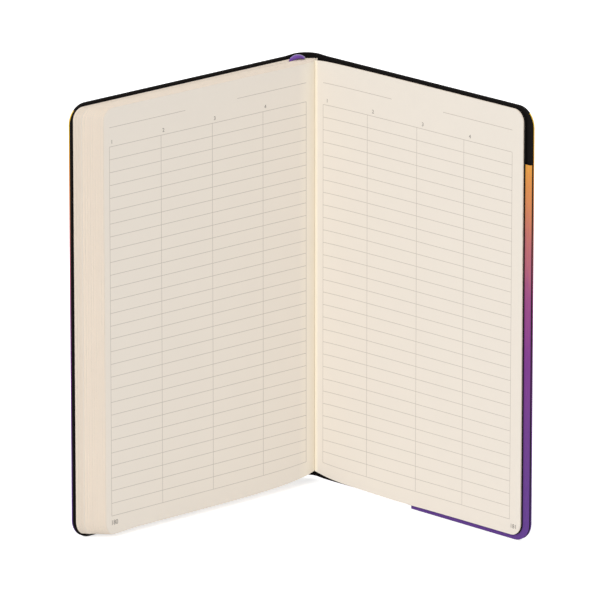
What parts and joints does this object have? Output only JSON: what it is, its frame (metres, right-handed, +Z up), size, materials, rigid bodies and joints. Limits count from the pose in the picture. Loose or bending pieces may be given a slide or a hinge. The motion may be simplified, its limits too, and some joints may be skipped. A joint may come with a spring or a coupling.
{
  "type": "softcover notebook",
  "caption": "Softcover notebook standing open near its end, with sewn sections of ruled leaves, a ribbon marker and a pocket inside the back cover.",
  "frame": {"origin": "on the ground, in the middle of the spine skin's lower edge, where the closed spine is centred between the two covers", "axes": "+Z up along the spine, +Y from the open pages towards the spine's back, +X from the front cover's side to the back cover's side"},
  "size_m": [0.1834, 0.0844, 0.18],
  "materials": {
    "printed_skin": "satin",
    "black_card": "matte",
    "black_paper": "matte",
    "cream_paper": "matte",
    "gauze": "matte",
    "purple_satin": "satin",
    "pocket_print": "satin"
  },
  "bodies": {
    "spine": {"leaf_177_178_margin": "cream_paper", "leaf_179_180_margin": "cream_paper", "leaf_181_182_margin": "cream_paper", "leaf_183_184_margin": "cream_paper", "leaf_185_186_margin": "cream_paper", "leaf_187_188_margin": "cream_paper", "leaf_189_190_margin": "cream_paper", "leaf_191_192_margin": "cream_paper", "ribbon_marker": "purple_satin", "section_01_margin": "cream_paper", "section_02_margin": "cream_paper", "section_03_margin": "cream_paper", "section_04_margin": "cream_paper", "section_05_margin": "cream_paper", "section_06_margin": "cream_paper", "section_07_margin": "cream_paper", "section_08_margin": "cream_paper", "section_09_margin": "cream_paper", "section_10_margin": "cream_paper", "section_11_margin": "cream_paper", "sewing_thread": "gauze", "spine_card": "black_card", "spine_liner": "black_paper", "spine_lining": "gauze", "spine_skin": "printed_skin"},
    "front_cover": {"front_cover_card": "black_card", "front_cover_skin": "printed_skin", "front_pastedown": "black_paper"},
    "left_pages": {"front_flyleaf": "black_paper", "leaf_177_178": "cream_paper", "leaf_179_180": "cream_paper", "section_01": "cream_paper", "section_02": "cream_paper", "section_03": "cream_paper", "section_04": "cream_paper", "section_05": "cream_paper", "section_06": "cream_paper", "section_07": "cream_paper", "section_08": "cream_paper", "section_09": "cream_paper", "section_10": "cream_paper", "section_11": "cream_paper"},
    "back_cover": {"back_cover_card": "black_card", "back_cover_skin": "printed_skin", "back_pastedown": "black_paper", "pocket_edge_pleat": "black_paper", "pocket_spine_pleat": "black_paper"},
    "right_pages": {"back_flyleaf": "black_paper", "leaf_183_184": "cream_paper", "leaf_185_186": "cream_paper", "leaf_187_188": "cream_paper", "leaf_189_190": "cream_paper", "leaf_191_192": "cream_paper"},
    "turning_leaf": {"leaf_181_182": "cream_paper"},
    "pocket_front": {"pocket_panel": "pocket_print"}
  },
  "joints": [
    {"name": "front_cover_hinge", "type": "hinge", "parent": "spine", "child": "front_cover", "pos_m": [-0.00787, -0.0059, 0], "axis": [0, 0, -1], "range_deg": [-45, 40.6], "deforming": ["leaf_177_178_margin", "leaf_179_180_margin", "section_01_margin", "section_02_margin", "section_03_margin", "section_04_margin", "section_05_margin", "section_06_margin", "section_07_margin", "section_08_margin", "section_09_margin", "section_10_margin", "section_11_margin", "ribbon_marker"]},
    {"name": "left_pages_turn", "type": "hinge", "parent": "front_cover", "child": "left_pages", "pos_m": [-0.0015, -0.0077, 0], "axis": [0, 0, 1], "range_deg": [0, 42], "deforming": ["leaf_177_178_margin", "leaf_179_180_margin", "section_01_margin", "section_02_margin", "section_03_margin", "section_04_margin", "section_05_margin", "section_06_margin", "section_07_margin", "section_08_margin", "section_09_margin", "section_10_margin", "section_11_margin", "ribbon_marker"]},
    {"name": "back_cover_hinge", "type": "hinge", "parent": "spine", "child": "back_cover", "pos_m": [0.00785, -0.00588, 0], "axis": [0, 0, 1], "range_deg": [-42, 43.5], "deforming": ["leaf_181_182_margin", "leaf_183_184_margin", "leaf_185_186_margin", "leaf_187_188_margin", "leaf_189_190_margin", "leaf_191_192_margin"]},
    {"name": "right_pages_turn", "type": "hinge", "parent": "back_cover", "child": "right_pages", "pos_m": [0.0044, -0.00553, 0], "axis": [0, 0, -1], "range_deg": [0, 45], "deforming": ["leaf_181_182_margin", "leaf_183_184_margin", "leaf_185_186_margin", "leaf_187_188_margin", "leaf_189_190_margin", "leaf_191_192_margin"]},
    {"name": "leaf_turn", "type": "hinge", "parent": "right_pages", "child": "turning_leaf", "pos_m": [0.00671, -0.00828, 0], "axis": [0, 0, -1], "range_deg": [0, 86], "deforming": ["leaf_181_182_margin"]},
    {"name": "pocket_opens", "type": "hinge", "parent": "back_cover", "child": "pocket_front", "pos_m": [0.04257, -0.04047, 0.0003], "axis": [0.7254, -0.6884, 0], "range_deg": [0, 9], "deforming": ["pocket_edge_pleat", "pocket_spine_pleat"]}
  ],
  "couplings": [
    {"joint": "pocket_opens", "follows": "right_pages_turn", "ratio": 0.2}
  ]
}
